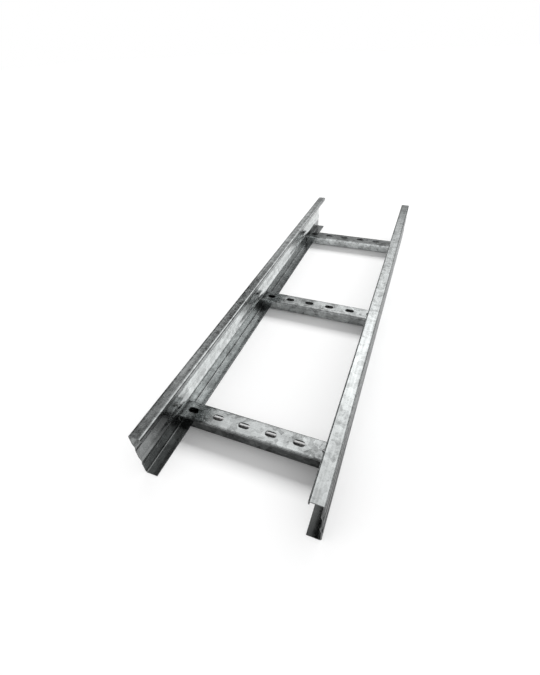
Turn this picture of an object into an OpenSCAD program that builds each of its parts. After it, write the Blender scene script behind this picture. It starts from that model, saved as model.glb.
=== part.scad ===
// Cable ladder section: two roll-formed C rails, facing each other, joined by three slotted rungs.
// X runs across the ladder, Y along the rails and Z up.
// The origin is on the floor, in the middle of the section's width and length.

/* [Ladder] */
// Overall width, from the outer face of one web to the outer face of the other
ladder_w = 290; // [200:10:600]
// Cut length of the rails
ladder_l = 1000; // [840:10:1500]
// Distance between the centres of neighbouring rungs
rung_pitch = 380; // [200:10:460]

/* [Side rail] */
// Overall height of the rail
rail_h = 100; // [90:1:150]
// Thickness of the rail's sheet
rail_t = 2; // [1.5:0.1:2.5]
// Inner radius of the two bends of the top flange
top_bend_r = 1; // [0.5:0.1:3]
// Inner radius of the bend between the web and the bottom flange
foot_bend_r = 3; // [1:0.1:4]
// Width of the top flange, outside
top_flange_w = 22; // [18:0.5:40]
// Depth of the lip turned down from the top flange, outside
lip_h = 8; // [7:0.5:14]
// Width of the bottom flange, outside
bottom_flange_w = 22; // [18:0.5:40]

/* [Web swages] */
// Depth that each V swage stands into the cable space
swage_depth = 2.4; // [1:0.1:3.5]
// Angle of the swage's flanks to the web
swage_angle = 16; // [13:1:24]
// Inner radius of the bends of a swage
swage_bend_r = 3; // [1:0.5:4]
// Distance from the top of the rail down to the upper swage's centre
high_swage_drop = 30; // [22:0.5:33]
// Plain web left between the top of the rungs and the lower swage
rung_to_swage = 0.3; // [0.2:0.1:5]

/* [Rungs] */
// Width of a rung, along the rails
rung_w = 38; // [26:1:60]
// Height of a rung
rung_h = 22; // [15:0.5:26]
// Thickness of the rung's sheet
rung_t = 2; // [1.5:0.1:2.5]
// Inner radius of the rung's bends
rung_bend_r = 1.5; // [1:0.1:3]
// Clearance between a rung's snipped corner and the bend of the rail that it sits in
snip_clearance = 0.5; // [0.2:0.1:2]

/* [Rung slots] */
// Length of a slot, end to end, across the ladder
slot_l = 20; // [15:0.5:30]
// Width of a slot
slot_w = 11; // [6:0.5:14]
// Distance between the centres of neighbouring slots
slot_pitch = 49; // [35:1:60]
// Least plain length between the end of a rung and its first slot
slot_end_land = 8; // [5:0.5:20]

/* [Hidden] */
// Circles are true arcs; this only sets how they are drawn
$fn = 48;
rail_colour = [0.62, 0.64, 0.65];
rung_colour = [0.70, 0.72, 0.73];
// Outer radii of the bends
top_outer_r = top_bend_r + rail_t;
foot_outer_r = foot_bend_r + rail_t;
rung_outer_r = rung_bend_r + rung_t;
// A swage's crest bend is centred outside the web, and its two root bends inside the cable space
crest_x = swage_depth - swage_bend_r;
root_x = rail_t + swage_bend_r;
// The flanks are tangent to the bends, which sets how far the roots lie above and below the crest
root_z = (2 * swage_bend_r + rail_t - (root_x - crest_x) * cos(swage_angle)) / sin(swage_angle);
// Heights of the swages' centres above the floor
low_swage_z = rail_t + rung_h + rung_to_swage + root_z;
high_swage_z = rail_h - high_swage_drop;
// Straight lengths that stand for the arc of each bend of a swage
arc_steps = 4;
// Rungs run from web to web and stand on the bottom flanges
rung_l = ladder_w - 2 * rail_t;
snip = foot_bend_r + snip_clearance;
// As many slots as fit between the plain ends of a rung
slot_count = floor((rung_l - 2 * slot_end_land - slot_l) / slot_pitch) + 1;
// A cutter reaches this far past the faces that it cuts
past = 1;

// Square bend of a folded sheet: a quarter of a ring round the origin, between +X and +Y
module bend(inner_r, t) {
    outer_r = inner_r + t;
    intersection() {
        difference() {
            circle(r = outer_r);
            circle(r = inner_r);
        }
        square(outer_r);
    }
}

// Points of a bend's arc, from one angle to another, round a centre
function arc(centre, r, from, to) =
    [for (k = [0 : arc_steps]) let (a = from + (to - from) * k / arc_steps) centre + r * [cos(a), sin(a)]];

// One face of a swage, from top to bottom: round the upper root, over the crest and round the lower root
function swage_face(z, root_r, crest_r) = concat(
    arc([root_x, z + root_z], root_r, 180, 180 + swage_angle),
    arc([crest_x, z], crest_r, swage_angle, -swage_angle),
    arc([root_x, z - root_z], root_r, 180 - swage_angle, 180)
);

// Both swages on one face of the web, from top to bottom
function swaged_face(root_r, crest_r) = concat(
    swage_face(high_swage_z, root_r, crest_r),
    swage_face(low_swage_z, root_r, crest_r)
);

// Web between the two flange bends: its outer face downwards, then its inner face upwards
module web_section() {
    far_r = swage_bend_r + rail_t;
    outer_face = swaged_face(far_r, swage_bend_r);
    inner_face = swaged_face(swage_bend_r, far_r);
    last = len(inner_face) - 1;
    polygon(concat(
        [[0, rail_h - top_outer_r]],
        outer_face,
        [[0, foot_outer_r], [rail_t, foot_outer_r]],
        [for (k = [last : -1 : 0]) inner_face[k]],
        [[rail_t, rail_h - top_outer_r]]
    ));
}

// Section of the left rail, with the outer face of its web on the Y axis and its foot on the X axis
module rail_section() {
    translate([top_flange_w - rail_t, rail_h - lip_h])
        square([rail_t, lip_h - top_outer_r]);
    translate([top_flange_w - top_outer_r, rail_h - top_outer_r])
        bend(top_bend_r, rail_t);
    translate([top_outer_r, rail_h - rail_t])
        square([top_flange_w - 2 * top_outer_r, rail_t]);
    translate([top_outer_r, rail_h - top_outer_r])
        rotate(90)
            bend(top_bend_r, rail_t);
    web_section();
    translate([foot_outer_r, foot_outer_r])
        rotate(180)
            bend(foot_bend_r, rail_t);
    translate([foot_outer_r, 0])
        square([bottom_flange_w - foot_outer_r, rail_t]);
}

module left_rail() {
    color(rail_colour)
        translate([-ladder_w / 2, ladder_l / 2, 0])
            rotate([90, 0, 0])
                linear_extrude(ladder_l)
                    rail_section();
}

module right_rail() {
    mirror([1, 0, 0])
        left_rail();
}

// Section of a rung: a channel that is open downwards, centred on the Y axis
module rung_section() {
    leg_l = rung_h - rung_outer_r;
    for (side = [0, 1])
        mirror([side, 0]) {
            translate([rung_w / 2 - rung_t, 0])
                square([rung_t, leg_l]);
            translate([rung_w / 2 - rung_outer_r, leg_l])
                bend(rung_bend_r, rung_t);
        }
    translate([-rung_w / 2 + rung_outer_r, rung_h - rung_t])
        square([rung_w - 2 * rung_outer_r, rung_t]);
}

// Side view of a rung, from web to web, with its lower corners snipped to clear the rails' bends
module rung_outline() {
    polygon([
        [-rung_l / 2 + snip, 0],
        [rung_l / 2 - snip, 0],
        [rung_l / 2, snip],
        [rung_l / 2, rung_h + past],
        [-rung_l / 2, rung_h + past],
        [-rung_l / 2, snip]
    ]);
}

// Slot with round ends, along X
module slot_outline() {
    straight_l = slot_l - slot_w;
    square([straight_l, slot_w], center = true);
    for (end = [-1, 1])
        translate([end * straight_l / 2, 0])
            circle(d = slot_w);
}

// Row of slots centred on the rung
module slot_row() {
    for (i = [0 : slot_count - 1])
        translate([(i - (slot_count - 1) / 2) * slot_pitch, 0])
            slot_outline();
}

// One rung, standing on the bottom flanges; place counts the rungs along Y from the middle one
module rung(place) {
    color(rung_colour)
        translate([0, place * rung_pitch, rail_t])
            difference() {
                intersection() {
                    rotate([90, 0, 90])
                        linear_extrude(rung_l + 2 * past, center = true)
                            rung_section();
                    rotate([90, 0, 0])
                        linear_extrude(rung_w + 2 * past, center = true)
                            rung_outline();
                }
                translate([0, 0, rung_h - rung_t - past])
                    linear_extrude(rung_t + 2 * past)
                        slot_row();
            }
}

left_rail();
right_rail();
rung(-1);  // near_rung
rung(0);  // middle_rung
rung(1);  // far_rung
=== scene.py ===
"""Cable ladder section in hot-dip galvanised steel: two roll-formed side rails and three slotted rungs.

Every sheet piece is worked out as the flat blank that it was cut from, and is then folded. A point of the
blank has two parameters: s, the distance across the blank along the section's middle line, and v, the
distance along the piece. A SectionLine turns s into a place on the folded section, and the sheet's thickness
and broken edges follow from there. All lengths are in metres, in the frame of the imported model.
"""

import logging
import math
from collections.abc import Iterable
from dataclasses import dataclass, field
from enum import Enum

import bpy
import numpy as np
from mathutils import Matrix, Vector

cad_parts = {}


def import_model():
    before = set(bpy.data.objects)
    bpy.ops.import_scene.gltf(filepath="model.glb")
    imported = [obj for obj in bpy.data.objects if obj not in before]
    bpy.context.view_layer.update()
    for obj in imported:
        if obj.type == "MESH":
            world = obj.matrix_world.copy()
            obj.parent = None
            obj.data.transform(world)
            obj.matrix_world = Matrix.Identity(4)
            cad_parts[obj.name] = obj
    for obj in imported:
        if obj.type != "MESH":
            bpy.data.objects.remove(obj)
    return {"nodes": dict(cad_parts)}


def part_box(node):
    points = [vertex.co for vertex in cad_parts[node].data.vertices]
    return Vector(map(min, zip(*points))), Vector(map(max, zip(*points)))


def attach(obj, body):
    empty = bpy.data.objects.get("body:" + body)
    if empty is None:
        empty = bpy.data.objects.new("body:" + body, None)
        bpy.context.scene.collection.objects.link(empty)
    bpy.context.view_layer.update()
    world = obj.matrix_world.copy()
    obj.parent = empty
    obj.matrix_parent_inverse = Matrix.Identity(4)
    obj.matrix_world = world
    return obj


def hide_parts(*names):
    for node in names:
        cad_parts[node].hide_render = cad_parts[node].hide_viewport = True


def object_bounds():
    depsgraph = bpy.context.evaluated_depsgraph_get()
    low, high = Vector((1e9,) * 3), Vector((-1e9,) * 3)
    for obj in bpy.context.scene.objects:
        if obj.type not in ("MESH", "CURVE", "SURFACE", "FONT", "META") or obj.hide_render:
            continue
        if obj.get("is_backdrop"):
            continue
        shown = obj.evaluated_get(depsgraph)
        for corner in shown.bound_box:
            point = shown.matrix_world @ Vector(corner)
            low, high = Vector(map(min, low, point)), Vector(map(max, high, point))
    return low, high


LOG = logging.getLogger("cable_ladder")
BODY = "root"
MM = 0.001
MERGE_DISTANCE = 1e-6

Socket = bpy.types.NodeSocket
Colour = tuple[float, float, float]
Places = tuple[tuple[float, float], ...]


class Side(Enum):
    """Which side of the ladder a rail is on, with the sign of its X."""

    LEFT = -1
    RIGHT = 1


class Run(Enum):
    """The direction that a sheet piece runs in: its rolling direction."""

    ALONG = "along the ladder, Y"
    ACROSS = "across the ladder, X"


# ---- Finishes


class ShaderGraph:
    """A material's or world's node tree, with one call for each node."""

    def __init__(self, tree: bpy.types.NodeTree) -> None:
        """Empties the tree.

        Args:
            tree: the node tree to fill.
        """
        self.tree = tree
        tree.nodes.clear()

    @classmethod
    def of_material(cls, name: str) -> tuple[bpy.types.Material, "ShaderGraph"]:
        """Makes a material without nodes, and returns it with its graph."""
        made = bpy.data.materials.new(name)
        made.use_nodes = True
        return made, cls(made.node_tree)

    def add(self, kind: str, inputs: dict | None = None, **settings: object) -> bpy.types.Node:
        """Adds a node, sets it up and connects it.

        Args:
            kind: Blender's name of the node's type, without "ShaderNode".
            inputs: for each input, by name or number, a value or the socket that feeds it.
            settings: the node's own properties.

        Returns:
            The new node.
        """
        node = self.tree.nodes.new("ShaderNode" + kind)
        for name, value in settings.items():
            setattr(node, name, value)
        for key, value in (inputs or {}).items():
            socket = node.inputs[key]
            if isinstance(value, Socket):
                self.tree.links.new(value, socket)
            else:
                socket.default_value = value
        return node

    def math(self, operation: str, *terms: float | Socket) -> Socket:
        """Returns the result of one sum on numbers or sockets."""
        return self.add("Math", dict(enumerate(terms)), operation=operation).outputs[0]

    def weighted(self, terms: Iterable[tuple[Socket, float]]) -> Socket:
        """Returns the sum of the sockets, each times its weight."""
        total = 0.0
        for socket, weight in terms:
            total = self.math("MULTIPLY_ADD", socket, weight, total)
        return total

    def mix(self, share: Socket, first: float | Socket, second: float | Socket) -> Socket:
        """Returns first where the share is 0, second where it is 1, and their mixture between."""
        return self.add("Mix", {0: share, 2: first, 3: second}, data_type="FLOAT").outputs[0]

    def stretch(self, value: Socket, low: float, high: float, to_low: float, to_high: float) -> Socket:
        """Returns value moved from the range low to high into the range to_low to to_high, held inside it."""
        return self.add("MapRange", {0: value, 1: low, 2: high, 3: to_low, 4: to_high}).outputs[0]

    def vector(self, operation: str, *terms: tuple | Socket) -> Socket:
        """Returns the result of one sum on vectors or their sockets."""
        return self.add("VectorMath", dict(enumerate(terms)), operation=operation).outputs[0]

    def noise(
        self, place: Socket, scale: float, detail: float, roughness: float = 0.5, output: int | str = 0
    ) -> Socket:
        """Adds a noise texture.

        Args:
            place: the socket of the coordinates.
            scale: waves to one unit of the coordinates.
            detail: how many finer waves are added.
            roughness: strength of each finer wave, as a share of the one before.
            output: name or number of the output.

        Returns:
            The texture's output.
        """
        inputs = {"Vector": place, "Scale": scale, "Detail": detail, "Roughness": roughness}
        return self.add("TexNoise", inputs).outputs[output]

    def ramp(self, factor: Socket, stops: list[tuple[float, Colour]]) -> Socket:
        """Turns a factor into a colour.

        Args:
            factor: the socket that feeds the ramp.
            stops: (position, colour) for each stop, in order.

        Returns:
            The ramp's colour.
        """
        node = self.add("ValToRGB", {0: factor})
        elements = node.color_ramp.elements
        for _ in stops[2:]:
            elements.new(0.5)
        for element, (position, colour) in zip(elements, stops):
            element.position = position
            element.color = (*colour, 1.0)
        return node.outputs["Color"]

    def metal(
        self,
        colour: Socket,
        roughness: float | Socket,
        relief: tuple[Socket, float, float],
        edge_on: float = 1.0,
    ) -> None:
        """Adds a metal surface and gives it to the material.

        Args:
            colour: the socket of its colour.
            roughness: its roughness, or the socket that feeds it.
            relief: the socket of the relief's height, the relief's depth and how strongly it shows.
            edge_on: tint of the reflections that are seen edge-on.
        """
        height, depth, strength = relief
        bump = self.add("Bump", {"Strength": strength, "Distance": depth, "Height": height})
        shader = self.add(
            "BsdfPrincipled",
            {
                "Base Color": colour,
                "Metallic": 1.0,
                "Roughness": roughness,
                "Specular Tint": (edge_on, edge_on, edge_on, 1.0),
                "Normal": bump.outputs[0],
            },
        )
        self.add("OutputMaterial", {0: shader.outputs[0]})


@dataclass(frozen=True)
class PaintedShade:
    """Painted shade, painted light and painted reflections: the share of the zinc's tone that is kept, on a
    piece's top and elsewhere.

    Args:
        level: height over which a place counts as the top.
        top: (Y, share) for places along the ladder on the top, from the near end to the far end.
        sides: the same for all other places.
        rim: share of the sides' tone that is kept in the band just under the top: painted shade.
        rim_height: height of that band.
        foot: (Y, share) of the sides' tone that is kept in the band next to the floor: painted shade, and
            painted light where above 1.
        foot_height: height of that band.
        fray: how far the clouds of the zinc move the share's edges to and fro.
    """

    level: float
    top: Places
    sides: Places
    rim: float = 1.0
    rim_height: float = 7 * MM
    foot: Places = ((-0.5, 1.0), (0.5, 1.0))
    foot_height: float = 26 * MM
    fray: float = 60 * MM

    # Heights over which the top, the rim and the foot blend into the rest
    TOP_BLEND = 0.5 * MM
    RIM_BLEND = 1 * MM
    FOOT_BLEND = 4 * MM

    @staticmethod
    def along(graph: ShaderGraph, y: Socket, places: Places) -> Socket:
        """Returns the share at y, read between the given places."""
        near, far = places[0][0], places[-1][0]
        stops = [((place - near) / (far - near), (share,) * 3) for place, share in places]
        return graph.ramp(graph.stretch(y, near, far, 0.0, 1.0), stops)

    def share(self, graph: ShaderGraph, place: Socket, clouds: Socket) -> Socket:
        """Adds the share of the zinc's tone that is kept at each place: painted shade, light and reflections.

        Args:
            graph: the material's nodes.
            place: the socket of the object coordinates.
            clouds: the socket of the clouded pattern, 0 to 1.

        Returns:
            The socket of the share.
        """
        axes = graph.add("SeparateXYZ", {0: place}).outputs
        height = axes["Z"]
        moved = graph.math("MULTIPLY_ADD", graph.math("SUBTRACT", clouds, 0.5), self.fray, axes["Y"])
        rim_start = self.level - self.rim_height
        rim = graph.stretch(height, rim_start - self.RIM_BLEND, rim_start, 1.0, self.rim)
        on_sides = graph.math("MULTIPLY", self.along(graph, moved, self.sides), rim)
        at_foot = graph.math("MULTIPLY", on_sides, self.along(graph, moved, self.foot))
        low = graph.stretch(height, self.foot_height + self.FOOT_BLEND, self.foot_height, 0.0, 1.0)
        high = graph.stretch(height, self.level - self.TOP_BLEND, self.level, 0.0, 1.0)
        return graph.mix(high, graph.mix(low, on_sides, at_foot), self.along(graph, moved, self.top))


@dataclass(frozen=True)
class ZincSpangle:
    """Hot-dip galvanised sheet: zinc crystals, clouded tones, the streaks of rolling, and painted shade and
    painted reflections.

    Args:
        name: name of the material.
        run: the direction of the streaks.
        painted_shade: where and how far the zinc's tone is darkened or lightened as painted shade, light and
            reflections.
        tones: tones of the darkest, the middle and the brightest zinc.
        edge_on: tint of the reflections that are seen edge-on.
        crystal: width of a large crystal.
        fine_crystal: width of the small crystals between the large ones.
        cloud: size of the clouded patches.
        streak: length of a streak.
        streak_width: width of a streak.
        smooth: roughness where the zinc is smoothest.
        rough: roughness where it is roughest.
        relief: height of the relief.
        weights: weights of the large and the small crystals, the clouds, the mottling and the streaks.
    """

    name: str
    run: Run
    painted_shade: PaintedShade
    tones: tuple[float, float, float] = (0.25, 0.62, 0.96)
    edge_on: float = 0.5
    crystal: float = 9 * MM
    fine_crystal: float = 3.2 * MM
    cloud: float = 45 * MM
    streak: float = 120 * MM
    streak_width: float = 3 * MM
    smooth: float = 0.12
    rough: float = 0.30
    relief: float = 0.06 * MM
    weights: tuple[float, float, float, float, float] = (0.30, 0.16, 0.55, 0.70, 0.30)

    # The zinc's colour at full tone, the tones' places on the ramp, and the part of the sum that it reads
    TINT = (0.965, 1.0, 0.998)
    STOPS = (0.08, 0.5, 0.92)
    SPAN = (0.33, 0.70)
    # Waves of the bending and of the mottling in the width of a large crystal
    BEND_WAVES = 0.6
    MOTTLE_WAVES = 0.35
    # The dullness: weights of the mottling and the small crystals, and the part of the sum that is read
    DULL_WEIGHTS = (0.8, 0.35)
    DULL_SPAN = (0.30, 0.85)
    # The relief: weights of the large crystals, the mottling and the streaks, and how strongly it shows
    RELIEF_WEIGHTS = (0.5, 1.6, 0.5)
    RELIEF_STRENGTH = 0.5

    def material(self) -> bpy.types.Material:
        """Builds the material.

        The tone is a weighted sum of five patterns, spread over a ramp of three tones and multiplied by the
        share of the painted shade. The roughness and the relief are weighted sums of some of the same
        patterns.

        Returns:
            The new material.
        """
        made, graph = ShaderGraph.of_material(self.name)
        place = graph.add("TexCoord").outputs["Object"]
        patterns = self.patterns(graph, place)
        large, small, clouds, mottle, streaks = patterns
        # The painted shade, light and reflections scale the zinc's tone here
        share = self.painted_shade.share(graph, place, clouds)
        unshaded = self.unshaded_colour(graph, patterns)
        colour = graph.add("VectorMath", {0: unshaded, "Scale": share}, operation="SCALE").outputs[0]
        dullness = graph.weighted(zip((mottle, small), self.DULL_WEIGHTS))
        roughness = graph.stretch(dullness, *self.DULL_SPAN, self.smooth, self.rough)
        height = graph.weighted(zip((large, mottle, streaks), self.RELIEF_WEIGHTS))
        graph.metal(colour, roughness, (height, self.relief, self.RELIEF_STRENGTH), self.edge_on)
        return made

    def patterns(self, graph: ShaderGraph, place: Socket) -> tuple[Socket, ...]:
        """Adds the zinc's patterns on object coordinates.

        The crystals are Voronoi cells, each with its own tone, on coordinates that a noise bends to and fro.
        The clouds and the mottling are noise, and the streaks are noise stretched along the run.

        Args:
            graph: the material's nodes.
            place: the socket of the object coordinates.

        Returns:
            The sockets of the large and the small crystals, the clouds, the mottling and the streaks.
        """
        wave = graph.noise(place, self.BEND_WAVES / self.crystal, detail=2.0, output="Color")
        shift = graph.vector("SUBTRACT", wave, (0.5, 0.5, 0.5))
        bent = graph.vector("MULTIPLY_ADD", shift, (self.crystal,) * 3, place)
        large, small = (self.crystals(graph, bent, width) for width in (self.crystal, self.fine_crystal))
        clouds = graph.noise(place, 1 / self.cloud, detail=5.0, roughness=0.6)
        mottle = graph.noise(place, self.MOTTLE_WAVES / self.crystal, detail=6.0, roughness=0.7)
        along, around = 1 / self.streak, 1 / self.streak_width
        scale = (around, along, around) if self.run is Run.ALONG else (along, around, around)
        stretched = graph.add("Mapping", {"Vector": place, "Scale": scale}).outputs[0]
        streaks = graph.noise(stretched, 1.0, detail=3.0)
        return large, small, clouds, mottle, streaks

    @staticmethod
    def crystals(graph: ShaderGraph, bent: Socket, width: float) -> Socket:
        """Returns the tones, 0 to 1, of crystals of one width."""
        cells = graph.add("TexVoronoi", {"Vector": bent, "Scale": 1 / width}).outputs["Color"]
        return graph.add("SeparateColor", {0: cells}).outputs[0]

    def unshaded_colour(self, graph: ShaderGraph, patterns: tuple[Socket, ...]) -> Socket:
        """Returns the colour that the zinc has without the painted shade."""
        total = graph.weighted(zip(patterns, self.weights))
        low, high = (end * sum(self.weights) for end in self.SPAN)
        colours = [tuple(part * tone for part in self.TINT) for tone in self.tones]
        return graph.ramp(graph.stretch(total, low, high, 0.0, 1.0), list(zip(self.STOPS, colours)))


@dataclass(frozen=True)
class FleckedZinc:
    """Plain zinc with small dark flecks, which may be stronger in some patches than in others.

    Args:
        name: name of the material.
        dark: tone of the flecks.
        light: tone between them.
        fleck: width of a fleck.
        detail: how many finer waves the flecks have.
        span: values of the pattern at which the tone is fully dark and fully light.
        depth: depth of the flecks.
        strength: how strongly their relief shows.
        roughness: roughness of the zinc.
        patch: width of the patches.
        weights: weights of the flecks and the patches in the pattern.
    """

    name: str
    dark: Colour
    light: Colour
    fleck: float
    detail: float
    span: tuple[float, float]
    depth: float
    strength: float
    roughness: float
    patch: float = 20 * MM
    weights: tuple[float, float] = (1.0, 0.0)

    def material(self) -> bpy.types.Material:
        """Builds the material: the weighted sum of two noises, spread over a ramp of two tones."""
        made, graph = ShaderGraph.of_material(self.name)
        place = graph.add("TexCoord").outputs["Object"]
        flecks = graph.noise(place, 1 / self.fleck, self.detail)
        patches = graph.noise(place, 1 / self.patch, detail=2.0)
        total = graph.weighted(zip((flecks, patches), self.weights))
        colour = graph.ramp(total, list(zip(self.span, (self.dark, self.light))))
        graph.metal(colour, self.roughness, (flecks, self.depth, self.strength))
        return made


# A sheared edge is painted darker than the sheet's faces, as painted shade, with lighter patches as painted
# glints and the marks of the shear across it
SHADED_CUT_EDGE = FleckedZinc(
    name="shaded_cut_edge",
    dark=(0.015, 0.016, 0.016),
    light=(0.11, 0.114, 0.114),
    fleck=1.6 * MM,
    detail=3.0,
    span=(0.35, 0.75),
    depth=0.1 * MM,
    strength=0.4,
    roughness=0.34,
    weights=(0.6, 0.6),
)
# The zinc over a weld is duller than the sheet's, with flecks in its ripples
WELD_ZINC = FleckedZinc(
    name="weld_zinc",
    dark=(0.06, 0.062, 0.062),
    light=(0.22, 0.23, 0.23),
    fleck=1.2 * MM,
    detail=4.0,
    span=(0.38, 0.62),
    depth=0.15 * MM,
    strength=0.6,
    roughness=0.42,
)


@dataclass(frozen=True)
class RailToneAndShade:
    """How one rail's zinc looks: its tones, and the painted shade, light and reflections on it.

    Args:
        sides: (Y, share) of the zinc's tone that is kept off the top, from the near end to the far end:
            painted shade and painted reflections.
        foot: (Y, share) of the sides' tone that is kept next to the floor: painted shade, and painted light
            where above 1.
        rim: share of the sides' tone that is kept just under the top: painted shade.
        edge_on: tint of the reflections that are seen edge-on.
    """

    sides: Places
    foot: Places
    rim: float
    edge_on: float

    # Painted shade and painted light on the top flanges: darker at the near and the far end
    TOP = ((-0.50, 0.78), (-0.42, 0.90), (-0.38, 1.0), (0.36, 1.0), (0.47, 0.72))
    TOP_BAND = 1 * MM
    TONES = (0.44, 0.76, 0.96)
    WEIGHTS = (0.28, 0.16, 0.35, 0.60, 0.62)

    def finish(self, name: str, height: float) -> ZincSpangle:
        """Returns the finish, under that name, of a rail whose top is that high."""
        level = height - self.TOP_BAND
        painted_shade = PaintedShade(level, self.TOP, self.sides, rim=self.rim, foot=self.foot)
        return ZincSpangle(name, Run.ALONG, painted_shade, self.TONES, self.edge_on, weights=self.WEIGHTS)


@dataclass(frozen=True)
class RungToneAndShade:
    """How one rung's zinc looks: its tones, and the painted shade and painted reflections on it.

    Args:
        top: share of the zinc's tone that is kept on the top: painted shade.
        sides: the same for the rest of the rung: painted shade and painted reflections.
        tones: tones of the darkest, the middle and the brightest zinc.
    """

    top: float
    sides: float
    tones: tuple[float, float, float] = ZincSpangle.tones

    TOP_BAND = 0.5 * MM

    def finish(self, name: str, height: float) -> ZincSpangle:
        """Returns the finish, under that name, of a rung whose top is that high."""
        top, sides = (((-0.5, share), (0.5, share)) for share in (self.top, self.sides))
        return ZincSpangle(name, Run.ACROSS, PaintedShade(height - self.TOP_BAND, top, sides), self.tones)


# Painted shade and painted reflections: the rails' webs are darkest at the near end, and the left one also
# low down beside each rung
RAIL_TONE_AND_SHADE = {
    Side.LEFT: RailToneAndShade(
        sides=((-0.50, 0.33), (-0.43, 0.35), (-0.36, 1.0), (0.30, 1.0), (0.45, 0.80)),
        foot=(
            *((-0.50, 1.1), (-0.43, 1.0), (-0.41, 0.40), (-0.36, 0.55), (-0.34, 1.0), (-0.06, 1.0)),
            *((-0.035, 0.30), (0.0, 0.40), (0.03, 0.74), (0.32, 0.74), (0.35, 0.36), (0.43, 0.44)),
        ),
        rim=0.52,
        edge_on=0.95,
    ),
    Side.RIGHT: RailToneAndShade(
        sides=((-0.50, 0.20), (-0.42, 0.30), (-0.30, 0.8), (0.30, 1.0)),
        foot=((-0.50, 0.60), (-0.30, 0.62), (0.00, 0.80), (0.40, 1.0)),
        rim=0.40,
        edge_on=0.36,
    ),
}
# Painted shade and painted reflections: the near rung's sides darkest, the far rung's top dark
RUNG_TONE_AND_SHADE = {
    "near_rung": RungToneAndShade(top=0.86, sides=0.27),
    "middle_rung": RungToneAndShade(top=0.82, sides=0.64),
    "far_rung": RungToneAndShade(top=0.41, sides=1.0, tones=(0.31, 0.76, 1.0)),
}


# ---- Sheet pieces


@dataclass(frozen=True)
class Fold:
    """One stretch of a section: a flat of some length, or a bend.

    Args:
        length: length of a flat, or 0 for a bend.
        turn: angle of a bend in degrees, positive to the left.
        radius: radius of the bend's middle line.
    """

    length: float = 0.0
    turn: float = 0.0
    radius: float = 0.0


class SectionLine:
    """Middle line of a folded section, as points at known distances along the blank."""

    FLAT_STEP = 2.5 * MM
    BEND_STEP = 9.0

    def __init__(self, folds: list[Fold], start: tuple[float, float], heading: float) -> None:
        """Walks along the folds.

        Each flat is cut into equal steps. Each bend is cut into equal chords, and a chord of a turn of angle
        a has the length 2 r sin(a / 2) and heads half-way between the directions at its ends, so every point
        lies on the true arc. The points are the running sum of the steps.

        Args:
            folds: the section's flats and bends, in order.
            start: the line's first point.
            heading: its first direction, in degrees from the section's first axis.
        """
        steps, turns, spans, crowns = [], [], [], []
        for fold in folds:
            if fold.turn:
                count = max(2, math.ceil(abs(fold.turn) / self.BEND_STEP))
                angle = math.radians(fold.turn) / count
                steps += [2 * fold.radius * math.sin(abs(angle) / 2)] * count
                turns += [angle] * count
                spans += [fold.radius * abs(angle)] * count
                crowns += [0.0] * count
            else:
                count = max(1, round(fold.length / self.FLAT_STEP))
                steps += [fold.length / count] * count
                turns += [0.0] * count
                spans += [fold.length / count] * count
                crowns += [math.sin(math.pi * (i + 1) / count) for i in range(count)]
        turns = np.array(turns)
        ends = math.radians(heading) + np.concatenate([[0.0], np.cumsum(turns)])
        chords = ends[:-1] + turns / 2
        walked = np.array(steps)[:, None] * np.stack([np.cos(chords), np.sin(chords)], axis=1)
        self.points = np.array(start) + np.vstack([[0.0, 0.0], np.cumsum(walked, axis=0)])
        self.normals = np.stack([-np.sin(ends), np.cos(ends)], axis=1)
        self.at = np.concatenate([[0.0], np.cumsum(spans)])
        self.flatness = np.concatenate([[0.0], crowns])

    @property
    def width(self) -> float:
        """Width of the flat blank."""
        return float(self.at[-1])

    def place(self, s: np.ndarray) -> np.ndarray:
        """Returns the points of the section at the distances s, one row for each."""
        return np.stack([np.interp(s, self.at, self.points[:, k]) for k in (0, 1)], axis=-1)

    def normal(self, s: np.ndarray) -> np.ndarray:
        """Returns the left-hand normals of the section at the distances s, one row for each."""
        return np.stack([np.interp(s, self.at, self.normals[:, k]) for k in (0, 1)], axis=-1)

    def flat(self, s: np.ndarray) -> np.ndarray:
        """Returns how far each distance lies from the bends: 0 on a bend, 1 in the middle of a flat."""
        return np.interp(s, self.at, self.flatness)


def grid_quads(shape: tuple[int, int], closed: bool) -> np.ndarray:
    """Numbers the corners of the faces between the points of a grid.

    Args:
        shape: rows and columns of the grid, whose points are numbered row by row.
        closed: True where the grid's last column joins its first.

    Returns:
        One row of four point numbers for each face.
    """
    number = np.arange(shape[0] * shape[1]).reshape(shape)
    if closed:
        number = np.hstack([number, number[:, :1]])
    quads = np.stack([number[:-1, :-1], number[:-1, 1:], number[1:, 1:], number[1:, :-1]], axis=-1)
    return quads.reshape(-1, 4)


@dataclass
class Blank:
    """Flat blank of a sheet piece, as a mesh in its two parameters.

    Args:
        points: one row (s, v) for each point.
        faces: one row of four point numbers for each face.
    """

    points: np.ndarray = field(default_factory=lambda: np.zeros((0, 2)))
    faces: np.ndarray = field(default_factory=lambda: np.zeros((0, 4), int))

    def join(self, s: np.ndarray, v: np.ndarray, closed: bool = False) -> None:
        """Adds a grid of points to the blank.

        Args:
            s: the distances across the blank, as a grid.
            v: the distances along it, as a grid of the same shape.
            closed: True where the grid's last column joins its first.
        """
        self.faces = np.vstack([self.faces, grid_quads(s.shape, closed) + len(self.points)])
        self.points = np.vstack([self.points, np.stack([s.ravel(), v.ravel()], axis=1)])


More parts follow.
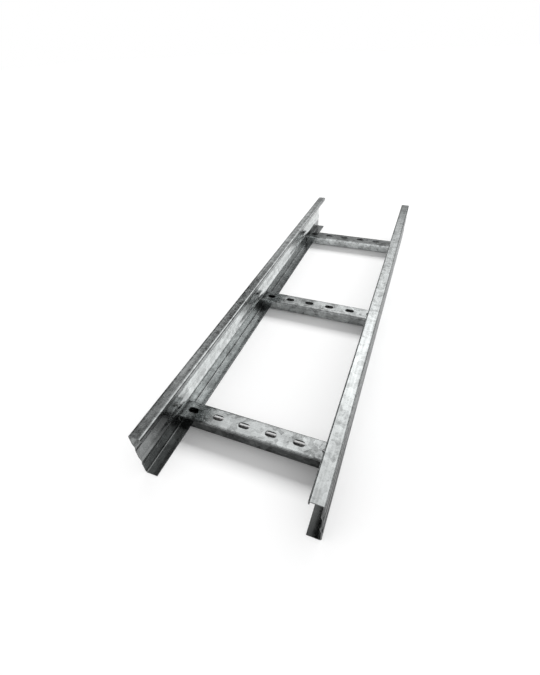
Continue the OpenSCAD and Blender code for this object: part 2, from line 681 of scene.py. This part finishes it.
@dataclass
class FoldedSheet:
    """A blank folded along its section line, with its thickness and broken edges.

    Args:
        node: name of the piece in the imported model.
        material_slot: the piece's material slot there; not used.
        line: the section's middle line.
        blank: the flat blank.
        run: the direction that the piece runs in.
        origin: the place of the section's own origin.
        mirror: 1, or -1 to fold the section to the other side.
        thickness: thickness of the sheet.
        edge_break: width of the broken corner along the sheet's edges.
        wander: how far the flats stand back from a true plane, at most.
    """

    node: str
    material_slot: str
    line: SectionLine
    blank: Blank
    run: Run
    origin: tuple[float, float, float]
    mirror: int
    thickness: float
    edge_break: float = 0.28 * MM
    wander: float = 0.0

    WANDER_LENGTHS = (0.31, 0.173, 0.087)
    WANDER_SHARES = (0.5, 0.3, 0.2)
    # Radians of a wave's phase to the metre across the blank
    PHASE_ACROSS = 41.0
    # Edges at which the faces turn by more than this many degrees are broken
    CORNER = 60.0

    def wander_of(self, s: np.ndarray, v: np.ndarray) -> np.ndarray:
        """Distance that the sheet stands back from its true plane.

        A sum of three waves along the piece, each with its own phase across the blank, brought to 0 to 1 and
        multiplied by the flatness, so that the bends keep their place.

        Args:
            s: the distances across the blank.
            v: the distances along it.

        Returns:
            The distance for each point, zero or negative: inwards.
        """
        waves = sum(
            share * np.sin(2 * math.pi * v / length + self.PHASE_ACROSS * s + k)
            for k, (share, length) in enumerate(zip(self.WANDER_SHARES, self.WANDER_LENGTHS))
        )
        return -self.wander * self.line.flat(s) * (0.5 + 0.5 * waves)

    def build(self, finishes: list[bpy.types.Material]) -> bpy.types.Object:
        """Folds the blank and makes the piece in place of the plain one.

        Args:
            finishes: the material of the sheet's faces and the material of its cut edges.

        Returns:
            The new piece, riding on the ladder's body.
        """
        s, v = self.blank.points.T
        section = self.line.place(s) + self.line.normal(s) * self.wander_of(s, v)[:, None]
        across, up = self.mirror * section[:, 0], section[:, 1]
        if self.run is Run.ALONG:
            points = np.stack([across, v, up], axis=1)
        else:
            points = np.stack([v, across, up], axis=1)
        piece = mesh_piece(f"{self.node}_sheet", points + np.array(self.origin), self.blank.faces)
        for finish in finishes:
            piece.data.materials.append(finish)
        # The rim of the gauge is the cut edge, so it takes the second finish
        gauge = piece.modifiers.new("gauge", "SOLIDIFY")
        gauge.thickness = self.thickness
        gauge.offset = 0.0
        gauge.use_even_offset = True
        gauge.use_quality_normals = True
        gauge.material_offset_rim = 1
        broken = piece.modifiers.new("broken_edges", "BEVEL")
        broken.width = self.edge_break
        broken.segments = 2
        broken.limit_method = "ANGLE"
        broken.angle_limit = math.radians(self.CORNER)
        broken.harden_normals = True
        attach(piece, BODY)
        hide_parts(self.node)
        LOG.info("%s: blank %.1f x %.0f mm", piece.name, self.line.width / MM, np.ptp(v) / MM)
        return piece


def mesh_piece(name: str, points: np.ndarray, faces: np.ndarray) -> bpy.types.Object:
    """Makes a smooth mesh piece from arrays, with its doubles merged.

    Args:
        name: name of the piece.
        points: one row (x, y, z) for each point.
        faces: one row of point numbers for each face.

    Returns:
        The new object, at the origin.
    """
    # Points in the same place get one number: the first of those that round to the same multiple
    keys = np.round(points / MERGE_DISTANCE).astype(np.int64)
    _, first, number = np.unique(keys, axis=0, return_index=True, return_inverse=True)
    faces = number.reshape(-1)[faces]
    mesh = bpy.data.meshes.new(name)
    # A face that lost a corner to the merge keeps its other corners
    rows = [list(dict.fromkeys(face)) for face in faces.tolist()]
    mesh.from_pydata(points[first], [], [row for row in rows if len(row) > 2])
    mesh.polygons.foreach_set("use_smooth", np.ones(len(mesh.polygons), bool))
    mesh.update()
    piece = bpy.data.objects.new(name, mesh)
    bpy.context.scene.collection.objects.link(piece)
    return piece


@dataclass
class SideRail:
    """Roll-formed C rail: lip, top flange, web with two V swages, and bottom flange.

    Args:
        side: the side of the ladder.
        thickness: thickness of the sheet.
        top_radius: inner radius of the two bends of the top flange.
        foot_radius: inner radius of the bend between the web and the bottom flange.
        lip: depth of the lip under the top flange, outside.
        swage_depth: depth of a swage.
        swage_angle: angle of a swage's flanks to the web, in degrees.
        swage_radius: inner radius of a swage's bends.
        high_swage_drop: distance from the rail's top down to the upper swage.
        rung_to_swage: plain web between the top of the rungs and the lower swage.
        station: distance between the cross-sections along the rail.
        wander: how far the flats stand back from a true plane, at most.
    """

    side: Side
    thickness: float = 2 * MM
    top_radius: float = 1 * MM
    foot_radius: float = 3 * MM
    lip: float = 8 * MM
    swage_depth: float = 2.4 * MM
    swage_angle: float = 16.0
    swage_radius: float = 3 * MM
    high_swage_drop: float = 30 * MM
    rung_to_swage: float = 0.3 * MM
    station: float = 8 * MM
    wander: float = 0.25 * MM

    @property
    def node(self) -> str:
        """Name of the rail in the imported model."""
        return f"{self.side.name.lower()}_rail"

    def swage(self) -> tuple[list[Fold], float]:
        """Folds of one swage, from root to root.

        The two bends of each flank turn the line by the swage's angle a and back, and together they give
        2 r (1 - cos a) of the depth, so the flank between them is the rest of the depth over sin a.

        Returns:
            The folds, and the swage's half height along the web.
        """
        radius = self.swage_radius + self.thickness / 2
        angle = math.radians(self.swage_angle)
        flank = (self.swage_depth - 2 * radius * (1 - math.cos(angle))) / math.sin(angle)
        half = 2 * radius * math.sin(angle) + flank * math.cos(angle)
        root = Fold(turn=-self.swage_angle, radius=radius)
        crest = Fold(turn=2 * self.swage_angle, radius=radius)
        return [root, Fold(flank), crest, Fold(flank), root], half

    def line(self, width: float, height: float, rung_top: float) -> SectionLine:
        """Works out the rail's section, from the lip's lower edge to the bottom flange's edge.

        The section's first axis points out of the ladder, from the flanges' inner edges, and the second up.

        Args:
            width: width of the flanges, outside.
            height: height of the rail.
            rung_top: height of the rungs' top over the floor.

        Returns:
            The section's middle line.
        """
        half_sheet = self.thickness / 2
        top, foot = self.top_radius + self.thickness, self.foot_radius + self.thickness
        top_bend = Fold(turn=-90.0, radius=top - half_sheet)
        foot_bend = Fold(turn=-90.0, radius=foot - half_sheet)
        swage, half = self.swage()
        high = height - self.high_swage_drop
        low = rung_top + self.rung_to_swage + half
        folds = [Fold(self.lip - top), top_bend, Fold(width - 2 * top), top_bend]
        folds += [Fold(height - top - high - half), *swage, Fold(high - low - 2 * half), *swage]
        folds += [Fold(low - half - foot), foot_bend, Fold(width - foot)]
        return SectionLine(folds, (half_sheet, height - self.lip), 90.0)

    def build(self, rung_top: float, finishes: list[bpy.types.Material]) -> bpy.types.Object:
        """Makes the rail in place of the plain one.

        Args:
            rung_top: height of the rungs' top over the floor.
            finishes: the material of the sheet's faces and the material of its cut edges.

        Returns:
            The rail.
        """
        low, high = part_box(self.node)
        line = self.line(high.x - low.x, high.z - low.z, rung_top - low.z)
        length = high.y - low.y
        stations = np.linspace(-length / 2, length / 2, round(length / self.station) + 1)
        blank = Blank()
        blank.join(*np.meshgrid(line.at, stations, indexing="ij"))
        inner_edge = low.x if self.side is Side.RIGHT else high.x
        sheet = FoldedSheet(
            node=self.node,
            material_slot="rail_steel",
            line=line,
            blank=blank,
            run=Run.ALONG,
            origin=(inner_edge, (low.y + high.y) / 2, low.z),
            mirror=self.side.value,
            thickness=self.thickness,
            wander=self.wander,
        )
        return sheet.build(finishes)


@dataclass
class Rung:
    """Folded channel, open downwards, with a row of slots in its top and its lower end corners snipped.

    Args:
        name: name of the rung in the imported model.
        thickness: thickness of the sheet.
        bend_radius: inner radius of its bends.
        slot_length: length of a slot, end to end.
        slot_width: width of a slot.
        slot_pitch: distance between the centres of neighbouring slots.
        slot_count: number of slots.
        snip: size of the snipped corners.
        cells: steps along one slot's share of the rung, and across the rung's top.
        wander: how far the flats stand back from a true plane, at most.
    """

    name: str
    thickness: float = 2 * MM
    bend_radius: float = 1.5 * MM
    slot_length: float = 20 * MM
    slot_width: float = 11 * MM
    slot_pitch: float = 49 * MM
    slot_count: int = 6
    snip: float = 3.5 * MM
    cells: tuple[int, int] = (18, 12)
    wander: float = 0.12 * MM

    RINGS = (0.0, 0.07, 0.2, 0.45, 0.72, 1.0)

    def line(self, width: float, height: float) -> SectionLine:
        """Works out the rung's section, from one lower edge over the top to the other.

        Args:
            width: width of the rung.
            height: height of the rung.

        Returns:
            The section's middle line, centred on the rung's width.
        """
        outer = self.bend_radius + self.thickness
        corner = Fold(turn=-90.0, radius=self.bend_radius + self.thickness / 2)
        leg = Fold(height - outer)
        folds = [leg, corner, Fold(width - 2 * outer), corner, leg]
        return SectionLine(folds, (-width / 2 + self.thickness / 2, 0.0), 90.0)

    def slot_cell(
        self, blank: Blank, middle: float, half_top: float, centre: float, ends: tuple[float, float]
    ) -> None:
        """Adds the part of the rung's top round one slot.

        The grid runs round the cell's rectangular border in one parameter and from the slot's rim to the
        border in the other. A point of the rim is one slot radius from the core line of the slot, towards the
        border's point, from the place on the core line that is nearest to it.

        Args:
            blank: the blank to add to.
            middle: distance s of the rung's middle.
            half_top: half the width of the flat top.
            centre: distance v of the slot's centre.
            ends: distances v of the cell's two ends.
        """
        along = np.linspace(*ends, self.cells[0] + 1)
        across = np.linspace(-half_top, half_top, self.cells[1] + 1)
        low, high = np.full(self.cells[1], ends[0]), np.full(self.cells[1], ends[1])
        near, far = np.full(self.cells[0], -half_top), np.full(self.cells[0], half_top)
        border_s = np.concatenate([near, across[:-1], far, across[:0:-1]])
        border_v = np.concatenate([along[:-1], high, along[:0:-1], low])
        core = (self.slot_length - self.slot_width) / 2
        core_v = centre + np.clip(border_v - centre, -core, core)
        reach = np.hypot(border_s, border_v - core_v)
        rim_s = border_s / reach * self.slot_width / 2
        rim_v = core_v + (border_v - core_v) / reach * self.slot_width / 2
        ring = np.array(self.RINGS)[:, None]
        blank.join(middle + rim_s + ring * (border_s - rim_s), rim_v + ring * (border_v - rim_v), closed=True)

    def cut_blank(self, line: SectionLine, width: float, length: float) -> Blank:
        """Cuts the rung's blank: the slotted top, and the two bent sides with their snipped corners.

        Args:
            line: the section's middle line.
            width: width of the rung.
            length: length of the rung.

        Returns:
            The blank.
        """
        blank = Blank()
        middle = line.width / 2
        half_top = width / 2 - self.bend_radius - self.thickness
        centres = (np.arange(self.slot_count) - (self.slot_count - 1) / 2) * self.slot_pitch
        borders = np.concatenate([[-length / 2], (centres[:-1] + centres[1:]) / 2, [length / 2]])
        for centre, ends in zip(centres, zip(borders[:-1], borders[1:])):
            self.slot_cell(blank, middle, half_top, centre, ends)
        stations = np.concatenate(
            [np.linspace(a, b, self.cells[0], endpoint=False) for a, b in zip(borders[:-1], borders[1:])]
            + [[length / 2]]
        )
        edge = line.width - self.snip
        side = line.at[line.at >= middle + half_top - MERGE_DISTANCE]
        side = np.sort(np.append(side[abs(side - edge) > MERGE_DISTANCE], edge))
        s, v = np.meshgrid(side, stations, indexing="ij")
        v = v * (1 - 2 * np.maximum(s - edge, 0) / length)
        blank.join(s, v[:, ::-1])
        blank.join(line.width - s, v)
        return blank

    def build(self, finishes: list[bpy.types.Material]) -> bpy.types.Object:
        """Makes the rung in place of the plain one.

        Args:
            finishes: the material of the sheet's faces and the material of its cut edges.

        Returns:
            The rung.
        """
        low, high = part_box(self.name)
        width, length = high.y - low.y, high.x - low.x
        line = self.line(width, high.z - low.z)
        sheet = FoldedSheet(
            node=self.name,
            material_slot="rung_steel",
            line=line,
            blank=self.cut_blank(line, width, length),
            run=Run.ACROSS,
            origin=((low.x + high.x) / 2, (low.y + high.y) / 2, low.z),
            mirror=1,
            thickness=self.thickness,
            wander=self.wander,
        )
        return sheet.build(finishes)


@dataclass
class RungWelds:
    """The upright fillet welds that hold one rung to the webs, one at each corner.

    Args:
        rung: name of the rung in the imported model.
        leg: size of the fillet.
        root: how far the bead reaches into the corner.
        foot: height of the bead's lower end over the rung's lower edge.
        drop: distance from the rung's top down to the bead's upper end.
        ripple: distance between the bead's ripples.
        ripple_share: depth of a ripple, as a share of the leg.
        steps: points round the bead, and along it.
    """

    rung: str
    leg: float = 2.6 * MM
    root: float = 0.35 * MM
    foot: float = 4.5 * MM
    drop: float = 4.0 * MM
    ripple: float = 1.5 * MM
    ripple_share: float = 0.14
    steps: tuple[int, int] = (20, 48)

    def bead(
        self, corner: tuple[float, float], out: tuple[int, int], ends: tuple[float, float]
    ) -> tuple[np.ndarray, np.ndarray]:
        """Works out one bead.

        One parameter goes round the bead and one along it. The radius is that of the root all round, and
        swells by cos(2 a) to the power 0.4 in the open quarter of the corner, where a is the angle from the
        quarter's middle. Along the bead it is multiplied by a ripple and closes to a point at both ends.

        Args:
            corner: x and y of the corner's upright line.
            out: signs of the open quarter's directions in x and y.
            ends: heights of the bead's ends.

        Returns:
            The bead's points and faces.
        """
        turn = np.linspace(0, 2 * math.pi, self.steps[0], endpoint=False)[None, :]
        share = np.linspace(0, 1, self.steps[1] + 1)[:, None]
        off = (turn - math.pi / 4 + math.pi) % (2 * math.pi) - math.pi
        open_quarter = np.maximum(np.cos(2 * off), 0) * (abs(off) < math.pi / 4)
        radius = self.root + (self.leg - self.root) * open_quarter**0.4
        height = ends[0] + share * (ends[1] - ends[0])
        closing = np.sqrt(np.maximum(1 - (2 * share - 1) ** 4, 0))
        rippled = 1 - self.ripple_share * np.sin(math.pi * (height - ends[0]) / self.ripple) ** 2
        size = radius * closing * rippled
        x = corner[0] + out[0] * size * np.cos(turn)
        y = corner[1] + out[1] * size * np.sin(turn)
        points = np.stack([x, y, np.broadcast_to(height, x.shape)], axis=-1).reshape(-1, 3)
        quads = grid_quads(x.shape, closed=True)
        # Where only one of the two directions is turned round, the faces are too
        return points, quads if out[0] == out[1] else quads[:, ::-1]

    def build(self, finish: bpy.types.Material) -> bpy.types.Object:
        """Makes the four beads as one piece.

        Args:
            finish: the material of the beads.

        Returns:
            The piece, riding on the ladder's body.
        """
        low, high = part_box(self.rung)
        ends = (low.z + self.foot, high.z - self.drop)
        across, along = ((low.x, 1), (high.x, -1)), ((low.y, -1), (high.y, 1))
        beads = [self.bead((x, y), (to_x, to_y), ends) for x, to_x in across for y, to_y in along]
        count = len(beads[0][0])
        points = np.vstack([points for points, _ in beads])
        faces = np.vstack([faces + k * count for k, (_, faces) in enumerate(beads)])
        piece = mesh_piece(f"{self.rung}_welds", points, faces)
        piece.data.materials.append(finish)
        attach(piece, BODY)
        LOG.info("%s: %d beads", piece.name, len(beads))
        return piece


# ---- Studio


def direction(azimuth: float, elevation: float) -> tuple[float, float, float]:
    """Returns the unit vector that points there, from degrees off +Y towards +X and over the horizon."""
    turn, rise = math.radians(azimuth), math.radians(elevation)
    return math.cos(rise) * math.sin(turn), math.cos(rise) * math.cos(turn), math.sin(rise)


@dataclass(frozen=True)
class SoftLight:
    """One soft light of the dome: a round patch of sky that fades out towards its rim.

    Args:
        azimuth: direction over the floor in degrees, from +Y towards +X.
        elevation: height over the horizon in degrees.
        core: angle from the middle out to which the light is even.
        reach: angle at which it has faded out.
        strength: radiance in its core.
    """

    azimuth: float
    elevation: float
    core: float
    reach: float
    strength: float

    def radiance(self, graph: ShaderGraph, look: Socket) -> Socket:
        """Adds the light's radiance: a smooth step of the cosine of the angle between it and a direction.

        Args:
            graph: the world's nodes.
            look: the socket of the direction.

        Returns:
            The socket of the radiance.
        """
        middle = direction(self.azimuth, self.elevation)
        cosine = graph.add("VectorMath", {0: look, 1: middle}, operation="DOT_PRODUCT").outputs["Value"]
        far, near = (math.cos(math.radians(angle)) for angle in (self.reach, self.core))
        ends = {0: cosine, 1: far, 2: near, 3: 0.0, 4: self.strength}
        return graph.add("MapRange", ends, interpolation_type="SMOOTHSTEP").outputs[0]


@dataclass(frozen=True)
class FloorLamp:
    """Tall, narrow lamp behind the ladder, which lights the matt floor only. The metal doesn't mirror it.

    Args:
        azimuth: direction over the floor in degrees, from +Y towards +X.
        elevation: height over the horizon in degrees.
        distance: distance from the ladder's middle.
        spread: how wide and how tall the lamp looks from there, in degrees.
        power: power in watts.
    """

    azimuth: float = 0.0
    elevation: float = 29.0
    distance: float = 20.0
    spread: tuple[float, float] = (5.0, 16.0)
    power: float = 4650.0

    def build(self, casters: list[bpy.types.Object]) -> None:
        """Makes the lamp and turns it to the ladder's middle.

        Args:
            casters: the pieces that cast this lamp's shadows.
        """
        lamp = bpy.data.lights.new("floor_lamp", "AREA")
        lamp.shape = "RECTANGLE"
        sizes = [2 * self.distance * math.tan(math.radians(part / 2)) for part in self.spread]
        lamp.size, lamp.size_y = sizes
        lamp.energy = self.power
        stand = bpy.data.objects.new("floor_lamp", lamp)
        stand.location = [self.distance * part for part in direction(self.azimuth, self.elevation)]
        stand.rotation_euler = (math.radians(self.elevation - 90), 0.0, -math.radians(self.azimuth))
        stand.visible_camera = False
        stand.visible_glossy = False
        bpy.context.scene.collection.objects.link(stand)
        shade = bpy.data.collections.new("floor_lamp_casters")
        for caster in casters:
            shade.objects.link(caster)
        stand.light_linking.blocker_collection = shade


@dataclass
class Studio:
    """Pale floor under a dome of soft light.

    Args:
        lamp: the lamp that lights the floor.
        lights: the dome's soft lights.
        fill: radiance of the rest of the dome.
        horizon: sines of the elevations between which the white horizon, as metal and glass show it, fades.
        floor_tone: colour of the floor.
        floor_size: half the width of the floor.
    """

    lamp: FloorLamp = FloorLamp()
    lights: tuple[SoftLight, ...] = (
        SoftLight(azimuth=-3, elevation=32, core=4, reach=22, strength=0.84),
        SoftLight(azimuth=-10, elevation=56, core=6, reach=26, strength=0.88),
        SoftLight(azimuth=180, elevation=40, core=30, reach=80, strength=0.54),
        SoftLight(azimuth=105, elevation=25, core=15, reach=44, strength=0.40),
        SoftLight(azimuth=-105, elevation=25, core=15, reach=44, strength=0.40),
        SoftLight(azimuth=-36, elevation=54, core=5, reach=17, strength=0.27),
        SoftLight(azimuth=20, elevation=27, core=4, reach=18, strength=0.42),
        SoftLight(azimuth=50, elevation=52, core=5, reach=30, strength=0.80),
    )
    fill: float = 0.02
    horizon: tuple[float, float] = (0.06, 0.096)
    floor_tone: Colour = (0.94, 0.94, 0.94)
    floor_size: float = 12.0

    def dome(self) -> None:
        """Builds the world: the sum of the fill and the lights, behind a plain white background.

        The camera sees the background all round. Mirrored and refracted rays see it low down, and the lights
        above it.
        """
        world = bpy.data.worlds.new("studio_dome")
        world.use_nodes = True
        bpy.context.scene.world = world
        graph = ShaderGraph(world.node_tree)
        look = graph.add("TexCoord").outputs["Generated"]
        total = self.fill
        for light in self.lights:
            total = graph.math("ADD", light.radiance(graph, look), total)
        rays = graph.add("LightPath").outputs
        start, end = self.horizon
        low = graph.stretch(graph.add("SeparateXYZ", {0: look}).outputs["Z"], end, start, 0.0, 1.0)
        bounced = graph.math("MAXIMUM", rays["Is Glossy Ray"], rays["Is Transmission Ray"])
        seen = graph.math("MAXIMUM", rays["Is Camera Ray"], graph.math("MULTIPLY", bounced, low))
        level = graph.mix(seen, total, 1.0)
        background = graph.add("Background", {"Color": (1.0, 1.0, 1.0, 1.0), "Strength": level})
        graph.add("OutputWorld", {0: background.outputs[0]})

    def floor(self) -> None:
        """Lays the floor under the ladder, as one large matt sheet."""
        grid = np.array([[-1, -1, 0], [1, -1, 0], [1, 1, 0], [-1, 1, 0]], float) * self.floor_size
        sheet = mesh_piece("studio_floor", grid, np.array([[0, 1, 2, 3]]))
        matt, graph = ShaderGraph.of_material("studio_floor_paint")
        diffuse = graph.add("BsdfDiffuse", {"Color": (*self.floor_tone, 1.0)})
        graph.add("OutputMaterial", {0: diffuse.outputs[0]})
        sheet.data.materials.append(matt)
        sheet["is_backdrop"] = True

    def build(self, casters: list[bpy.types.Object]) -> None:
        """Builds the dome, the lamp and the floor, and sets the plain view.

        Args:
            casters: the pieces that cast the lamp's shadows.
        """
        bpy.context.scene.view_settings.view_transform = "Standard"
        self.dome()
        self.lamp.build(casters)
        self.floor()


@dataclass
class Viewpoint:
    """The scene's camera.

    Args:
        place: where the camera stands.
        turn: its rotation about X, Y and Z, in degrees.
        lens: focal length in millimetres.
        sensor: width of the sensor in millimetres.
        reach: the nearest and the farthest distance that it sees.
    """

    place: tuple[float, float, float] = (0.1718, -0.6981, 0.5303)
    turn: tuple[float, float, float] = (49.685, 2.359, 21.642)
    lens: float = 19.193
    sensor: float = 36.0
    reach: tuple[float, float] = (0.01, 500.0)

    def build(self) -> None:
        """Makes the camera and gives it to the scene."""
        data = bpy.data.cameras.new("viewpoint")
        data.lens = self.lens
        data.sensor_width = self.sensor
        data.clip_start, data.clip_end = self.reach
        camera = bpy.data.objects.new("viewpoint", data)
        camera.location = self.place
        camera.rotation_euler = [math.radians(angle) for angle in self.turn]
        bpy.context.scene.collection.objects.link(camera)
        bpy.context.scene.camera = camera


def main() -> None:
    """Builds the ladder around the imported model, with its studio."""
    logging.basicConfig(level=logging.INFO, format="%(message)s")
    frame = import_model()
    cad_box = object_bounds()
    rung_names = sorted(name for name in frame["nodes"] if name.endswith("_rung"))
    rung_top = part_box(rung_names[0])[1].z
    edge, weld_finish = SHADED_CUT_EDGE.material(), WELD_ZINC.material()
    for side, tone_and_shade in RAIL_TONE_AND_SHADE.items():
        rail_finish = tone_and_shade.finish(f"{side.name.lower()}_rail_zinc", cad_box[1].z).material()
        SideRail(side).build(rung_top, [rail_finish, edge])
    casters = []
    for name in rung_names:
        rung_finish = RUNG_TONE_AND_SHADE[name].finish(f"{name}_zinc", rung_top).material()
        casters += [Rung(name).build([rung_finish, edge]), RungWelds(name).build(weld_finish)]
    Studio().build(casters)
    Viewpoint().build()
    bpy.context.view_layer.update()


if __name__ == "__main__":
    main()
